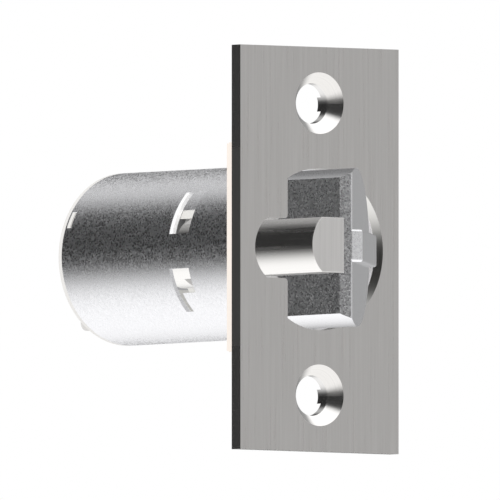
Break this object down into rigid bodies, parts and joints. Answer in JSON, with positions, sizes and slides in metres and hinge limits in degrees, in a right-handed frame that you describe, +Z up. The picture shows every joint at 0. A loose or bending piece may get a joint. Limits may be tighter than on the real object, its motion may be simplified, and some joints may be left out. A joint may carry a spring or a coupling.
{
  "type": "deadlatch",
  "caption": "Mortised door deadlatch: rectangular faceplate, round case, sprung bevelled latch bolt with a guard plunger, and a T-shaped tail for a retractor.",
  "frame": {"origin": "centre of the faceplate's front face, midway between the two screw holes", "axes": "+X across the faceplate, away from the guard plunger; +Y into the door, along the case; +Z up along the faceplate"},
  "size_m": [0.0286, 0.0656, 0.0572],
  "materials": {
    "brushed_plate": "brushed along its height",
    "cream_plate": "light satin coating",
    "satin_tube": "fine-grained satin",
    "cream_cap": "light satin coating",
    "moulded_shoe": "moulded",
    "stamped_steel": "plain zinc plated",
    "spring_wire": "drawn wire",
    "cast_bolt": "grainy cast steel",
    "cast_carrier": "die cast zinc",
    "tail_strip": "light satin coating",
    "polished_bar": "polished, with a brushed end"
  },
  "bodies": {
    "case": {"faceplate": "brushed_plate", "back_plate": "cream_plate", "case_tube": "satin_tube", "end_cap": "cream_cap", "guide_collar": "satin_tube", "guide_shoes": "moulded_shoe", "spring_seat": "stamped_steel", "latch_spring_guide": "stamped_steel", "plunger_spring_guide": "stamped_steel", "pivot_bracket": "stamped_steel", "bracket_rivet": "stamped_steel", "dog_pivot_pin": "stamped_steel", "dog_spring": "spring_wire", "latch_spring": "spring_wire", "plunger_spring": "spring_wire"},
    "bolt": {"latch_bolt": "cast_bolt", "bolt_carrier": "cast_carrier", "head_rivets": "stamped_steel", "tail_pin": "stamped_steel"},
    "tail": {"tail_bar": "tail_strip"},
    "plunger": {"deadlock_plunger": "polished_bar", "cam_bar": "stamped_steel", "cam_rivet": "stamped_steel"},
    "dog": {"locking_dog": "stamped_steel"}
  },
  "joints": [
    {"name": "bolt_slide", "type": "slide", "parent": "case", "child": "bolt", "axis": [0, 1, 0], "range_m": [0, 0.0127], "stiffness_N_per_m": 300, "springref_m": -0.015, "deforming": ["latch_spring"]},
    {"name": "tail_slide", "type": "slide", "parent": "bolt", "child": "tail", "axis": [0, 1, 0], "range_m": [0, 0.002]},
    {"name": "plunger_slide", "type": "slide", "parent": "case", "child": "plunger", "axis": [0, 1, 0], "range_m": [0, 0.0127], "stiffness_N_per_m": 200, "springref_m": -0.012, "deforming": ["plunger_spring"]},
    {"name": "dog_pivot", "type": "hinge", "parent": "case", "child": "dog", "pos_m": [-0.003, 0.0375, 0.0076], "axis": [1, 0, 0], "range_deg": [0, 8.8]}
  ],
  "couplings": [
    {"joint": "dog_pivot", "follows": "plunger_slide", "rad_per_m": 11.97}
  ]
}
